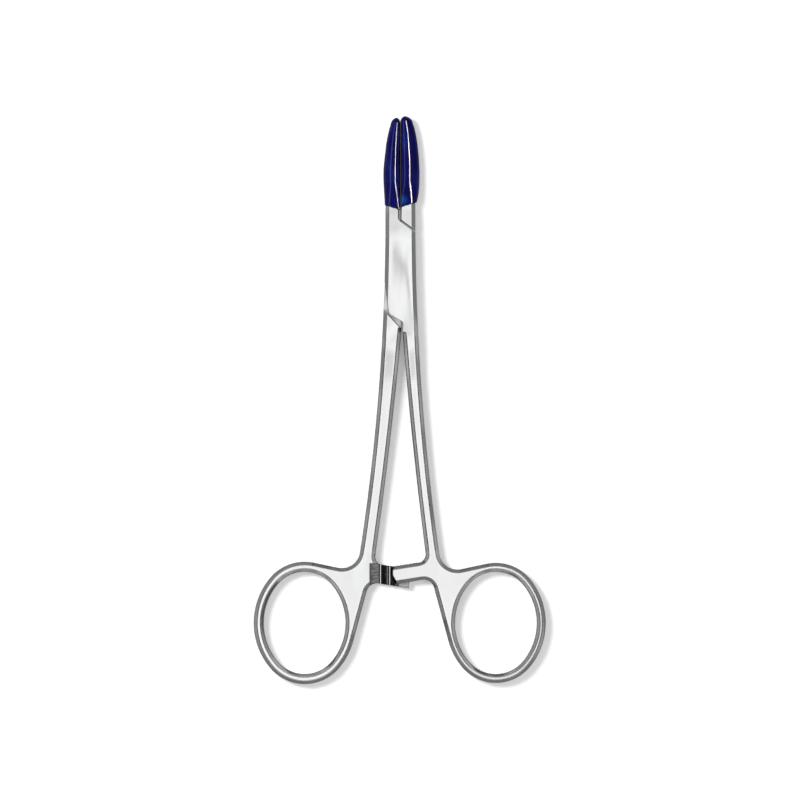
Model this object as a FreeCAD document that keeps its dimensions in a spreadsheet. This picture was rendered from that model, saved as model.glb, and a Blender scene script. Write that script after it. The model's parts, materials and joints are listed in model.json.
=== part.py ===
import FreeCAD, Part
import os
import re
import Sketcher

# Mosquito forceps with a box lock, a three-tooth ratchet and vinyl-dipped jaws.
# Millimetres. The origin is on the pin's axis at the lock's underside, +Y runs to the jaw tips
# and +Z points up from the table that the forceps lies on.
#
# The box half has the left jaw and the right shank. The tongue half has the right jaw and the
# left shank, and its thinned middle passes through the slot of the box half.
# Each half is drawn in a plan of its own with the jaw at -X and the shank at +X, so the tongue
# half's plan is turned over in X when it is placed.

SIZES = {
    "lock_thickness": (4.8, "box lock, underside to top"),
    "lock_half_width": (3.38, "pin axis to the lock's side"),
    "lock_top": (12.0, "pin axis to the jaw end of the lock"),
    "lock_bottom": (13.4, "pin axis to the crotch between the shanks"),
    "lock_play": (0.05, "running gap on each face of the tongue"),
    "slot_play": (0.12, "gap between the tongue's edges and the slot"),
    "tongue_thickness": (1.6, "tongue between the two cheeks of the box"),
    "open_angle": (50.0, "turn at which the tongue meets the ends of the slot"),
    "pin_radius": (1.1, "rivet pin"),
    "pin_play": (0.05, "running gap of the pin in the tongue"),
    "jaw_tip": (33.6, "pin axis to the steel tips"),
    "jaw_tip_width": (1.3, "each jaw at its tip"),
    "jaw_tip_thickness": (2.0, "jaws at the tip"),
    "jaw_tip_radius": (1.0, "rounding of each tip in plan"),
    "jaw_root_thickness": (3.6, "jaws where they leave the lock"),
    "jaw_root_end": (17.0, "pin axis to the end of the slope from lock to jaw"),
    "lock_flat_top": (7.0, "pin axis to the start of that slope"),
    "box_jaw_root_gap": (0.32, "middle plane to the box half's jaw at the lock"),
    "box_jaw_tip_gap": (0.46, "middle plane to the box half's jaw at the tip"),
    "tongue_jaw_root_gap": (0.0, "middle plane to the tongue half's jaw at the lock"),
    "tongue_jaw_tip_gap": (0.42, "middle plane to the tongue half's jaw at the tip"),
    "jaw_edge_bevel": (0.25, "bevel on the jaws' gripping edges"),
    "serration_start": (15.6, "pin axis to the first groove across the gripping faces"),
    "serration_pitch": (0.8, "groove to groove"),
    "serration_depth": (0.22, "depth of each groove"),
    "serration_land": (0.2, "flat between two grooves"),
    "edge_bevel": (0.85, "bevel round the whole outline, above and below"),
    "shank_thickness": (3.4, "shanks below the lock"),
    "lock_flat_bottom": (14.25, "pin axis to the end of the lock's flat faces, below"),
    "shank_slope_end": (27.0, "pin axis to the end of the slope from lock to shank"),
    "shank_inner_radius": (1000.0, "bend of the shanks' inner edges"),
    "box_crotch": (0.5, "inner edge of the box half's shank at the crotch"),
    "tongue_crotch": (-0.29, "inner edge of the tongue half's shank at the crotch"),
    "box_web_corner": (9.4, "outer edge of the shank above the ring, box half"),
    "tongue_web_corner": (9.8, "outer edge of the shank above the ring, tongue half"),
    "web_radius": (4.1, "hollow between shank and ring"),
    "web_angle": (12.0, "slope of the web's upper edge where it leaves the ring"),
    "ring_side_angle": (15.0, "slope of the web's lower edge where it leaves the ring"),
    "ring_thickness": (2.8, "finger rings and ratchet arms"),
    "ring_slope_end": (64.0, "pin axis to the end of the shanks' taper"),
    "ring_hole_width": (18.4, "finger hole across"),
    "ring_hole_length": (23.0, "finger hole along"),
    "ring_oval": (1.3, "how much tighter the finger hole bends at its ends than half its width"),
    "box_ring_band": (2.05, "width of the box half's ring"),
    "tongue_ring_band": (2.3, "width of the tongue half's ring"),
    "box_ring_x": (21.5, "middle plane to the box half's ring"),
    "tongue_ring_x": (21.55, "middle plane to the tongue half's ring"),
    "ring_y": (78.9, "pin axis to the rings' centres"),
    "arm_root_x": (5.9, "middle plane to the ratchet arms' roots"),
    "box_arm_rise": (13.9, "rings' centres to the upper edge of the box half's arm"),
    "tongue_arm_rise": (13.4, "rings' centres to the upper edge of the tongue half's arm"),
    "box_arm_height": (4.1, "box half's arm, edge to edge"),
    "tongue_arm_height": (4.4, "tongue half's arm, edge to edge"),
    "arm_slope": (0.155, "fall of the arms towards their ends"),
    "arm_upper_radius": (1.8, "hollow between shank and arm"),
    "arm_lower_radius": (2.4, "hollow between arm and ring"),
    "arm_step_x": (6.9, "middle plane to the step at the arms' roots"),
    "box_nose": (1.71, "how far the box half's arm passes the middle plane"),
    "tongue_nose": (2.1, "how far the tongue half's arm passes the middle plane"),
    "nose_bevel_rise": (2.1, "bevel on the lower corner of the box half's nose, along the nose"),
    "nose_bevel_run": (1.22, "that bevel, along the arm"),
    "nose_top_fall": (0.7, "blunting of the nose's upper corner, along the nose"),
    "nose_top_run": (0.52, "that blunting, along the arm"),
    "ratchet_play": (0.1, "gap between the crests of the two sets of teeth"),
    "ratchet_teeth": (3, "teeth on each arm"),
    "tooth_pitch": (2.07, "tooth to tooth"),
    "tooth_height": (0.55, "root to crest"),
    "tooth_land": (0.15, "flat at each crest"),
    "tooth_floor": (0.3, "flat between two teeth"),
    "box_first_tooth": (3.54, "middle plane to the tooth nearest the box half's shank"),
    "tongue_first_tooth": (4.6, "middle plane to the tooth nearest the tongue half's shank"),
    "notch_inner": (11.72, "pin axis to the notch's corner at the parting line"),
    "notch_outer": (9.0, "pin axis to the notch's end at the lock's side"),
    "shoulder_gap": (0.3, "light gap between the notch and the tongue half's shoulder"),
    "cheek_foot": (9.3, "pin axis to the lower left corner of the box's cheeks"),
    "cheek_foot_x": (2.6, "middle plane to that corner"),
    "cheek_heel": (11.2, "pin axis to the inner corner of the cheeks' lower edge"),
    "cheek_heel_x": (0.68, "middle plane to that corner"),
    "cheek_radius": (1.0, "rounding of the cheeks' lower corners"),
    "cheek_start": (2.0, "pin axis to where the cheeks' left edge turns inward"),
    "lower_shoulder_outer": (8.9, "pin axis to the tongue half's lower shoulder at its side"),
    "lower_shoulder_inner": (12.84, "pin axis to the tongue half's lower shoulder at the crotch"),
    "sleeve_gap": (0.05, "middle plane to each sleeve's inner face"),
    "sleeve_hem": (15.1, "pin axis to the hem of the sleeves"),
    "sleeve_hem_wall": (0.2, "vinyl over the jaws at the hem"),
    "box_sleeve_width": (3.85, "middle plane to the widest place of the left sleeve"),
    "tongue_sleeve_width": (4.32, "middle plane to the widest place of the right sleeve"),
    "sleeve_widest": (21.2, "pin axis to the sleeves' widest place"),
    "sleeve_thickness": (4.7, "sleeves at their widest place"),
    "sleeve_tip_thickness": (3.2, "sleeves at the tips"),
    "box_sleeve_tip": (34.9, "pin axis to the left sleeve's tip"),
    "tongue_sleeve_tip": (35.2, "pin axis to the right sleeve's tip"),
    "box_sleeve_tip_width": (1.9, "left sleeve at its tip, before rounding"),
    "tongue_sleeve_tip_width": (2.6, "right sleeve at its tip, before rounding"),
    "sleeve_edge_bevel": (0.9, "bevel that rounds the sleeves"),
    "cut_margin": (2.0, "how far a cut runs past the metal"),
}

TABLE = "Sizes"
PARTS_FOLDER = "parts"
SAME_PLACE = 1e-3
STANDS_UPRIGHT = 1e-6
SIDE_RISE = 0.02
FACE_RISE = 0.7
BESIDE = 0.1

document = FreeCAD.newDocument("mosquito_forceps")
sheet = document.addObject("Spreadsheet::Sheet", TABLE)
for row, (name, (size, meaning)) in enumerate(SIZES.items(), start=1):
    sheet.set(f"A{row}", name)
    sheet.set(f"B{row}", str(size))
    sheet.set(f"C{row}", meaning)
    sheet.setAlias(f"B{row}", name)
document.recompute()


def cells(text):
    """The text as an expression, with each size's name pointing at its cell."""
    return re.sub(r"\b[a-z]+_\w+", lambda found: f"{TABLE}.{found.group()}", text)


def number(text):
    """What an expression comes to now."""
    return float(sheet.evalExpression(cells(text)))


def bind(thing, path, text):
    thing.setExpression(path, cells(text))


def origin_plane(body, role):
    return next(item for item in body.Origin.OriginFeatures if item.Role == role)


def new_sketch(body, name, role="XY_Plane", offset="0"):
    """An empty sketch on one of the body's own planes, moved along that plane's normal."""
    sketch = body.newObject("Sketcher::SketchObject", name)
    sketch.AttachmentSupport = [(origin_plane(body, role), "")]
    sketch.MapMode = "FlatFace"
    bind(sketch, "AttachmentOffset.Base.z", offset)
    document.recompute()
    return sketch


def arc_between(start, end, radius, turn):
    """The short arc from start to end that turns to the left or right of its way."""
    chord = end - start
    left = FreeCAD.Vector(-chord.y, chord.x, 0).normalize()
    rise = radius - (radius ** 2 - (chord.Length / 2) ** 2) ** 0.5
    sign = -1 if turn == "left" else 1
    middle = (start + end) / 2 + left * (sign * rise)
    return Part.Arc(start, middle, end)


def draw(sketch, corners):
    """A closed outline. A corner is (x, y) or (x, y, turn, radius), which bends the side after it."""
    places = [FreeCAD.Vector(number(corner[0]), number(corner[1]), 0) for corner in corners]
    sides = []
    for index, corner in enumerate(corners):
        start = places[index]
        end = places[(index + 1) % len(places)]
        if len(corner) == 2:
            side = sketch.addGeometry(Part.LineSegment(start, end))
            sides.append((side, 1, 2))
            continue
        turn, radius = corner[2:]
        side = sketch.addGeometry(arc_between(start, end, number(radius), turn))
        sides.append((side, 1, 2) if turn == "left" else (side, 2, 1))
    for index, corner in enumerate(corners):
        side, first, last = sides[index]
        after, after_first, after_last = sides[(index + 1) % len(sides)]
        sketch.addConstraint(Sketcher.Constraint("Coincident", side, last, after, after_first))
        limit(sketch, Sketcher.Constraint("DistanceX", -1, 1, side, first, places[index].x), corner[0])
        limit(sketch, Sketcher.Constraint("DistanceY", -1, 1, side, first, places[index].y), corner[1])
        if len(corner) == 4:
            limit(sketch, Sketcher.Constraint("Radius", side, number(corner[3])), corner[3])


def limit(sketch, constraint, text):
    """Add a dimension that follows an expression."""
    index = sketch.addConstraint(constraint)
    bind(sketch, f"Constraints[{index}]", text)


def turned(corners, sign_x=1, sign_y=1):
    """The same outline turned over in x or y."""
    other = {"left": "right", "right": "left"}
    result = []
    for corner in corners:
        place = (f"{sign_x} * ({corner[0]})", f"{sign_y} * ({corner[1]})")
        bend = tuple(corner[2:])
        if bend and sign_x * sign_y < 0:
            bend = (other[bend[0]], bend[1])
        result.append(place + bend)
    return result


def add(body, kind, name, sketch, length, reverse=False, both_ways=True):
    """Pad or pocket a sketch, half to each side or all to one side."""
    feature = body.newObject(f"PartDesign::{kind}", name)
    feature.Profile = sketch
    feature.SideType = "Symmetric" if both_ways else "One side"
    feature.Reversed = reverse
    bind(feature, "Length", length)
    document.recompute()
    return feature


def dress_edges(body, kind, name, chosen):
    """A fillet or chamfer on the edges of the body's last feature that the test picks."""
    base = body.Tip
    edges = [f"Edge{index}" for index, edge in enumerate(base.Shape.Edges, start=1) if chosen(edge)]
    feature = body.newObject(f"PartDesign::{kind}", name)
    feature.Base = (base, edges)
    return feature


def round_edges(body, name, radius, chosen):
    fillet = dress_edges(body, "Fillet", name, chosen)
    bind(fillet, "Radius", radius)
    document.recompute()


def bevel_edges(body, name, size, chosen):
    chamfer = dress_edges(body, "Chamfer", name, chosen)
    bind(chamfer, "Size", size)
    document.recompute()


def upright_near(shape, places):
    """Tests whether an edge is the upright one that lies nearest to one of the places."""
    upright = [edge for edge in shape.Edges if is_upright(edge)]
    picked = []
    for x, y in places:
        target = FreeCAD.Vector(number(x), number(y), 0)
        picked.append(min(upright, key=lambda edge: flat_distance(edge.CenterOfMass, target)))
    return lambda edge: any(edge.isSame(other) for other in picked)


def flat_distance(place, target):
    return ((place.x - target.x) ** 2 + (place.y - target.y) ** 2) ** 0.5


def is_upright(edge):
    first = edge.valueAt(edge.FirstParameter)
    last = edge.valueAt(edge.LastParameter)
    return flat_distance(first, last) < STANDS_UPRIGHT and abs(first.z - last.z) > SAME_PLACE


def rim_test(shape, keep):
    """Tests whether an edge runs between an upright side and an upper or lower face."""
    def chosen(edge):
        middle = edge.valueAt((edge.FirstParameter + edge.LastParameter) / 2)
        slopes = []
        for face in shape.ancestorsOfType(edge, Part.Face):
            slopes.append(abs(face.normalAt(*face.Surface.parameter(middle)).z))
        on_rim = len(slopes) == 2 and min(slopes) < SIDE_RISE and max(slopes) > FACE_RISE
        return on_rim and keep(middle)
    return chosen


def span_radius(across, along):
    """Radius of an arc that starts along one axis and drifts off it by `across` in `along`."""
    return f"((({across})^2 + ({along})^2) / (2 * ({across})))"


def ease(start, end, first_turn):
    """Two equal arcs that lead from one level to another and start and end level."""
    (x1, y1), (x2, y2) = start, end
    radius = f"((({x2} - ({x1}))^2 + ({y2} - ({y1}))^2) / (4 * abs({y2} - ({y1}))))"
    second_turn = "right" if first_turn == "left" else "left"
    middle = (f"(({x1}) + ({x2})) / 2", f"(({y1}) + ({y2})) / 2")
    return [(x1, y1, first_turn, radius), middle + (second_turn, radius)]


RING_END_RADIUS = "(ring_hole_width / 2 - ring_oval)"
RING_RISE = f"(ring_hole_length / 2 - {RING_END_RADIUS})"
RING_SIDE_RADIUS = f"(((ring_hole_width / 2)^2 + {RING_RISE}^2 - {RING_END_RADIUS}^2) / (2 * ring_oval))"
RING_SIDE_OFFSET = f"({RING_SIDE_RADIUS} - ring_hole_width / 2)"
ARM_LEVEL = {"box": "(ring_y - box_arm_rise)", "tongue": "(ring_y - tongue_arm_rise)"}


def ring_joint(band):
    """From the ring's centre to where an end arc meets a side arc, `band` outside the hole."""
    share = f"(({RING_END_RADIUS} + {band}) / ({RING_SIDE_RADIUS} - {RING_END_RADIUS}))"
    return f"({RING_SIDE_OFFSET} * {share})", f"({RING_RISE} * (1 + {share}))"


def hole_outline(half):
    """The finger hole: two end arcs and two longer side arcs, all tangent."""
    x, y = ring_joint("0")
    centre_x = f"{half}_ring_x"
    return [
        (f"{centre_x} - {x}", f"-ring_y - {y}", "left", RING_END_RADIUS),
        (f"{centre_x} + {x}", f"-ring_y - {y}", "left", RING_SIDE_RADIUS),
        (f"{centre_x} + {x}", f"-ring_y + {y}", "left", RING_END_RADIUS),
        (f"{centre_x} - {x}", f"-ring_y + {y}", "left", RING_SIDE_RADIUS),
    ]


def web_start(half):
    """Where the web's upper edge leaves the ring."""
    radius = f"({RING_END_RADIUS} + {half}_ring_band)"
    x = f"({half}_ring_x - {radius} * sin(web_angle))"
    y = f"({RING_RISE} - ring_y + {radius} * cos(web_angle))"
    return x, y


def web_corner(half):
    """Where the shank's outer edge would meet the web's upper edge."""
    x, y = web_start(half)
    return f"{half}_web_corner", f"({y} - ({x} - {half}_web_corner) * tan(web_angle))"


def ring_side(half):
    """Where the web's lower edge leaves the ring."""
    radius = f"({RING_SIDE_RADIUS} + {half}_ring_band)"
    x = f"({half}_ring_x + {RING_SIDE_OFFSET} - {radius} * cos(ring_side_angle))"
    y = f"(-ring_y - {radius} * sin(ring_side_angle))"
    return x, y


def arm_lower_corner(half):
    """Where the arm's lower edge would meet the web's lower edge."""
    side_x, side_y = ring_side(half)
    level = f"(-{ARM_LEVEL[half]} - {half}_arm_height - arm_slope * arm_root_x)"
    x = f"(({side_x} + ({side_y} - {level}) * tan(ring_side_angle)) / (1 + arm_slope * tan(ring_side_angle)))"
    return x, f"({level} + arm_slope * {x})"


def outer_radius(half):
    """Bend of a shank's outer edge, which is upright at the top of the lock."""
    x, y = web_corner(half)
    return span_radius(f"{x} - lock_half_width", f"lock_top - {y}")


def outer_edge_x(half, down):
    """How far out that edge is at a distance below the pin."""
    radius = outer_radius(half)
    return f"(lock_half_width + {radius} - sqrt({radius}^2 - (lock_top + {down})^2))"


def arm_end(half):
    """The arm's blank runs past its nose, which is cut later."""
    x = f"(-{half}_nose - cut_margin)"
    return x, f"(-{ARM_LEVEL[half]} - arm_slope * (arm_root_x - {x}))"


def crotch_level(half):
    """Where the shank's inner edge starts. The tongue half's start goes when it is thinned."""
    levels = {"box": "lock_bottom", "tongue": "(lower_shoulder_inner - edge_bevel / 2)"}
    return levels[half]


def blank_outline(half, other):
    """The forging's outline before the lock is cut, jaw at -X and shank at +X."""
    crotch = crotch_level(half)
    joint_x, joint_y = ring_joint(f"{half}_ring_band")
    ring_x = f"{half}_ring_x"
    end_radius = f"{RING_END_RADIUS} + {half}_ring_band"
    side_radius = f"{RING_SIDE_RADIUS} + {half}_ring_band"
    end_x, end_y = arm_end(half)
    tip_x = f"({half}_jaw_tip_gap + jaw_tip_width)"
    jaw_radius = span_radius(f"lock_half_width - {tip_x}", "jaw_tip - lock_top")
    return [
        (f"-{half}_jaw_root_gap", "lock_top"),
        (f"-{half}_jaw_tip_gap", "jaw_tip"),
        (f"-{tip_x}", "jaw_tip", "left", jaw_radius),
        ("-lock_half_width", "lock_top", "right", outer_radius(other)),
        (f"-{outer_edge_x(other, crotch)}", f"-{crotch}"),
        (f"{half}_crotch", f"-{crotch}", "left", "shank_inner_radius"),
        ("arm_root_x", f"-{ARM_LEVEL[half]}"),
        (end_x, end_y),
        (end_x, f"{end_y} - {half}_arm_height"),
        arm_lower_corner(half),
        ring_side(half) + ("left", side_radius),
        (f"{ring_x} - {joint_x}", f"-ring_y - {joint_y}", "left", end_radius),
        (f"{ring_x} + {joint_x}", f"-ring_y - {joint_y}", "left", side_radius),
        (f"{ring_x} + {joint_x}", f"-ring_y + {joint_y}", "left", end_radius),
        web_start(half),
        web_corner(half) + ("right", outer_radius(half)),
        ("lock_half_width", "lock_top"),
    ]


def side_waste():
    """What is cut away above the forging, seen from the side: x is along the forceps."""
    lock = "lock_thickness / 2"
    jaw = "jaw_root_thickness / 2"
    shank = "shank_thickness / 2"
    ring = "ring_thickness / 2"
    tip = "jaw_tip_thickness / 2"
    high = "lock_thickness / 2 + 2 * cut_margin"
    far = "-ring_y - ring_hole_length - cut_margin"
    jaw_radius = span_radius(f"{jaw} - {tip}", "jaw_tip + cut_margin - jaw_root_end")
    return [
        ("jaw_tip + cut_margin", tip, "left", jaw_radius),
        *ease(("jaw_root_end", jaw), ("lock_flat_top", lock), "right"),
        ("lock_flat_top", lock),
        *ease(("-lock_flat_bottom", lock), ("-shank_slope_end", shank), "left"),
        *ease(("-shank_slope_end", shank), ("-ring_slope_end", ring), "left"),
        ("-ring_slope_end", ring),
        (far, ring),
        (far, high),
        ("jaw_tip + cut_margin", high),
    ]


def forging(half, other, sign_x):
    """A half's forged and ground blank: outline, finger hole, side taper and bevelled rim."""
    body = document.addObject("PartDesign::Body", f"{half}_half")
    body.Label = f"{half}_half"
    plan = new_sketch(body, f"{half}_plan")
    draw(plan, turned(blank_outline(half, other), sign_x))
    add(body, "Pad", f"{half}_blank", plan, "lock_thickness + 2 * cut_margin")
    hole = new_sketch(body, f"{half}_hole_plan")
    draw(hole, turned(hole_outline(half), sign_x))
    add(body, "Pocket", f"{half}_finger_hole", hole, "lock_thickness + 4 * cut_margin")

    def at(place):
        return f"{sign_x} * ({place[0]})", place[1]

    def round_upright(name, radius, places):
        chosen = upright_near(body.Tip.Shape, [at(place) for place in places])
        round_edges(body, f"{half}_{name}", radius, chosen)

    round_upright("web_hollow", "web_radius", [web_corner(half)])
    round_upright("arm_upper_hollow", "arm_upper_radius", [("arm_root_x", f"-{ARM_LEVEL[half]}")])
    round_upright("arm_lower_hollow", "arm_lower_radius", [arm_lower_corner(half)])
    tip = (f"-{half}_jaw_tip_gap - jaw_tip_width", "jaw_tip")
    round_upright("tip_rounding", "jaw_tip_radius", [tip])

    profile = new_sketch(body, f"{half}_profile", "YZ_Plane")
    draw(profile, side_waste())
    draw(profile, turned(side_waste(), 1, -1))
    add(body, "Pocket", f"{half}_side_taper", profile, "4 * ring_y")

    def on_rim(place):
        inside_x = -sign_x * place.x
        in_jaw = place.y > number("lock_top") + SAME_PLACE
        if in_jaw:
            at_tip = place.y > number("jaw_tip") - SAME_PLACE
            return at_tip or inside_x > number(f"{half}_jaw_tip_gap") + BESIDE
        cut_ends = [number("lock_top"), -number(crotch_level(half))]
        on_cut_end = any(abs(place.y - end) < SAME_PLACE for end in cut_ends)
        on_arm_end = abs(inside_x - (number(f"{half}_nose") + number("cut_margin"))) < SAME_PLACE
        return not on_cut_end and not on_arm_end

    bevel_edges(body, f"{half}_rim", "edge_bevel", rim_test(body.Tip.Shape, on_rim))
    return body


LOCK_HALF = "lock_half_width"
SLOT_RADIUS = "(lock_half_width + slot_play)"
REACH = "(lock_half_width + 2 * cut_margin)"
NOTCH_FALL = "((notch_inner - notch_outer) / (lock_half_width + box_jaw_root_gap))"
SHOULDER_FALL = "((lower_shoulder_inner - lower_shoulder_outer) / (lock_half_width - tongue_crotch))"


def slot_outline():
    """The slot in the box half, with ends that stop the tongue at the open angle."""
    corner_x = f"({SLOT_RADIUS} * cos(open_angle))"
    corner_y = f"({SLOT_RADIUS} * sin(open_angle))"
    edge = "box_jaw_root_gap"
    heel = "(slot_play - tongue_crotch)"
    drop = f"(({REACH} - {corner_x}) * tan(90 - open_angle))"
    return [
        (f"-{edge}", "lock_top + cut_margin"),
        (f"-{edge}", f"sqrt({SLOT_RADIUS}^2 - {edge}^2)", "left", SLOT_RADIUS),
        (f"-{corner_x}", corner_y),
        (f"-{REACH}", f"{corner_y} - {drop}"),
        (f"-{REACH}", "-lock_bottom - cut_margin"),
        (heel, "-lock_bottom - cut_margin"),
        (heel, f"-sqrt({SLOT_RADIUS}^2 - {heel}^2)", "left", SLOT_RADIUS),
        (corner_x, f"-{corner_y}"),
        (REACH, f"{drop} - {corner_y}"),
        (REACH, "lock_top + cut_margin"),
    ]


def cheek_cut():
    """What is cut from the box's cheeks below: the curved edge above the tongue half's shank."""
    start_x = outer_edge_x("tongue", "cheek_start")
    return [
        (f"-{start_x}", "-cheek_start"),
        ("-cheek_foot_x", "-cheek_foot"),
        ("cheek_heel_x", "-cheek_heel"),
        ("box_crotch", "-lock_bottom"),
        ("box_crotch - cut_margin", "-lock_bottom - cut_margin"),
        (f"-{REACH}", "-lock_bottom - cut_margin"),
        (f"-{REACH}", "-cheek_start"),
    ]


def notch_cut():
    """What is cut from the box's cheeks above, beside the tongue half's jaw."""
    return [
        ("-box_jaw_root_gap", "notch_inner"),
        (REACH, f"notch_inner - ({REACH} + box_jaw_root_gap) * {NOTCH_FALL}"),
        (REACH, "lock_top + cut_margin"),
        ("-box_jaw_root_gap", "lock_top + cut_margin"),
    ]


def thinned_outline():
    """The stretch of the tongue half that is thinned on both faces, between its two shoulders."""
    inner = "(notch_inner + shoulder_gap)"
    return [
        (f"-{REACH}", f"{inner} + {REACH} * {NOTCH_FALL}"),
        (f"-{REACH}", f"-lower_shoulder_outer + ({REACH} - lock_half_width) * {SHOULDER_FALL}"),
        (REACH, f"-lower_shoulder_outer - ({REACH} + lock_half_width) * {SHOULDER_FALL}"),
        (REACH, f"{inner} - {REACH} * {NOTCH_FALL}"),
    ]


def tongue_upper_trim():
    """What is cut from the tongue's left side above its lower neck, down to a round disc."""
    edge = "(-tongue_jaw_root_gap)"
    neck_x = outer_edge_x("tongue", "lower_shoulder_outer")
    return [
        (f"-{edge}", "lock_top + cut_margin"),
        (f"-{edge}", f"sqrt({LOCK_HALF}^2 - {edge}^2)", "left", LOCK_HALF),
        (f"-{LOCK_HALF}", "0"),
        (f"-{neck_x}", "-lower_shoulder_outer"),
        (f"-{REACH}", "-lower_shoulder_outer"),
        (f"-{REACH}", "lock_top + cut_margin"),
    ]


def tongue_lower_trim():
    """What is cut from the tongue's right side below its upper neck."""
    edge = "(-tongue_crotch)"
    return [
        (edge, "-lock_bottom - cut_margin"),
        (edge, f"-sqrt({LOCK_HALF}^2 - {edge}^2)", "left", LOCK_HALF),
        (LOCK_HALF, "0"),
        (LOCK_HALF, "notch_outer"),
        (REACH, "notch_outer"),
        (REACH, "-lock_bottom - cut_margin"),
    ]


def cut_through(body, name, corners):
    sketch = new_sketch(body, f"{name}_plan")
    draw(sketch, corners)
    return add(body, "Pocket", name, sketch, "lock_thickness + 4 * cut_margin")


def bore(body, name, radius):
    """A round hole on the pin's axis."""
    sketch = new_sketch(body, f"{name}_plan")
    circle = sketch.addGeometry(Part.Circle(FreeCAD.Vector(), FreeCAD.Vector(0, 0, 1), number(radius)))
    sketch.addConstraint(Sketcher.Constraint("Coincident", circle, 3, -1, 1))
    limit(sketch, Sketcher.Constraint("Radius", circle, number(radius)), radius)
    add(body, "Pocket", name, sketch, "lock_thickness + 4 * cut_margin")


def thin_arm(body, half, sign_x, sign_z):
    """Take one arm down to the crests of its teeth, on the side that faces the other arm."""
    end_x, end_y = arm_end(half)
    low = f"({end_y} - {half}_arm_height - 2 * cut_margin)"
    corners = [
        (f"{end_x} - cut_margin", f"-{ARM_LEVEL[half]}"),
        (f"{end_x} - cut_margin", low),
        ("arm_step_x", low),
        ("arm_step_x", f"-{ARM_LEVEL[half]}"),
    ]
    sketch = new_sketch(body, f"{half}_arm_plan", offset=f"{-sign_z} * ratchet_play / 2")
    draw(sketch, turned(corners, sign_x))
    add(body, "Pocket", f"{half}_arm_step", sketch, "ring_thickness", reverse=sign_z > 0, both_ways=False)


def cut_teeth(body, half, sign_x, sign_z):
    """Saw teeth across the arm, steep towards the arm's root, and a gutter behind the last."""
    crest = "ratchet_play / 2"
    root = "(ratchet_play / 2 + tooth_height)"
    open_side = "(ratchet_play / 2 - cut_margin / 4)"
    first = f"{half}_first_tooth"
    lean = "tooth_land"
    sketch = new_sketch(body, f"{half}_teeth", "XZ_Plane", f"{ARM_LEVEL[half]} - tooth_height")
    gutter = [
        (first, open_side),
        (first, crest),
        (f"{first} + {lean}", root),
        ("arm_step_x", root),
        ("arm_step_x", open_side),
    ]
    draw(sketch, turned(gutter, sign_x, -sign_z))
    for count in range(1, int(number("ratchet_teeth"))):
        steep = f"({first} - {count} * tooth_pitch)"
        groove = [
            (steep, open_side),
            (steep, crest),
            (f"{steep} + {lean}", root),
            (f"{steep} + {lean} + tooth_floor", root),
            (f"{steep} + tooth_pitch - tooth_land", crest),
            (f"{steep} + tooth_pitch - tooth_land", open_side),
        ]
        draw(sketch, turned(groove, sign_x, -sign_z))
    depth = f"{half}_arm_height + 4 * cut_margin"
    add(body, "Pocket", f"{half}_ratchet", sketch, depth, reverse=True, both_ways=False)


def box_nose_cut():
    """The blunt nose of the box half's arm, with its lower corner bevelled."""
    end_x, end_y = arm_end("box")
    level = ARM_LEVEL["box"]
    upper = f"(-{level} - arm_slope * (arm_root_x + box_nose))"
    return [
        (f"{end_x} - cut_margin", f"-{level} + cut_margin"),
        ("-box_nose + nose_top_run", f"-{level} + cut_margin"),
        ("-box_nose + nose_top_run", upper),
        ("-box_nose", f"{upper} - nose_top_fall"),
        ("-box_nose", f"{upper} - box_arm_height + nose_bevel_rise"),
        ("-box_nose + nose_bevel_run", f"{upper} - box_arm_height"),
        ("-box_nose + nose_bevel_run", f"{end_y} - box_arm_height - cut_margin"),
        (f"{end_x} - cut_margin", f"{end_y} - box_arm_height - cut_margin"),
    ]


def tongue_nose_cut():
    """The end of the tongue half's arm, which leans back a little."""
    end_x, end_y = arm_end("tongue")
    low = f"({end_y} - tongue_arm_height - cut_margin)"
    return [
        (f"{end_x} - cut_margin", f"-{ARM_LEVEL['tongue']} + cut_margin"),
        ("-tongue_nose - tooth_land", f"-{ARM_LEVEL['tongue']} + cut_margin"),
        ("-tongue_nose + 2 * tooth_land", low),
        (f"{end_x} - cut_margin", low),
    ]


def finish_jaw(body, half, sign_x):
    """Break the long edges of the gripping face."""
    def gripping(edge):
        middle = edge.valueAt((edge.FirstParameter + edge.LastParameter) / 2)
        in_jaw = number("lock_top") + BESIDE < middle.y < number("jaw_tip") - BESIDE
        return in_jaw and -sign_x * middle.x < number(f"{half}_jaw_tip_gap") + BESIDE

    chosen = rim_test(body.Tip.Shape, lambda place: True)
    bevel_edges(body, f"{half}_grip_edges", "jaw_edge_bevel", lambda edge: gripping(edge) and chosen(edge))


def serrate_jaw(body, half, sign_x):
    """Fine grooves across the gripping face: one cut, repeated along the face's lean."""
    lean = f"atan(({half}_jaw_tip_gap - {half}_jaw_root_gap) / (jaw_tip - lock_top))"
    sketch = new_sketch(body, f"{half}_serration_plan")
    bind(sketch, "AttachmentOffset.Base.x", f"{-sign_x} * {half}_jaw_root_gap")
    bind(sketch, "AttachmentOffset.Base.y", "lock_top")
    bind(sketch, "AttachmentOffset.Rotation.Angle", f"{sign_x} * {lean}")
    document.recompute()
    middle = "(serration_start - lock_top)"
    mouth = "(serration_pitch - serration_land)"
    groove = [
        ("serration_depth", f"{middle} - {mouth}"),
        ("serration_depth", f"{middle} + {mouth}"),
        ("-serration_depth", middle),
    ]
    draw(sketch, turned(groove, sign_x))
    cut = add(body, "Pocket", f"{half}_serration", sketch, "lock_thickness")
    pattern = body.newObject("PartDesign::LinearPattern", f"{half}_serrations")
    pattern.Originals = [cut]
    pattern.Direction = (sketch, ["V_Axis"])
    repeats = "floor((jaw_tip - jaw_tip_radius - serration_start) / serration_pitch)"
    bind(pattern, "Length", f"serration_pitch * {repeats}")
    bind(pattern, "Occurrences", f"{repeats} + 1")
    body.Tip = pattern
    document.recompute()


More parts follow.
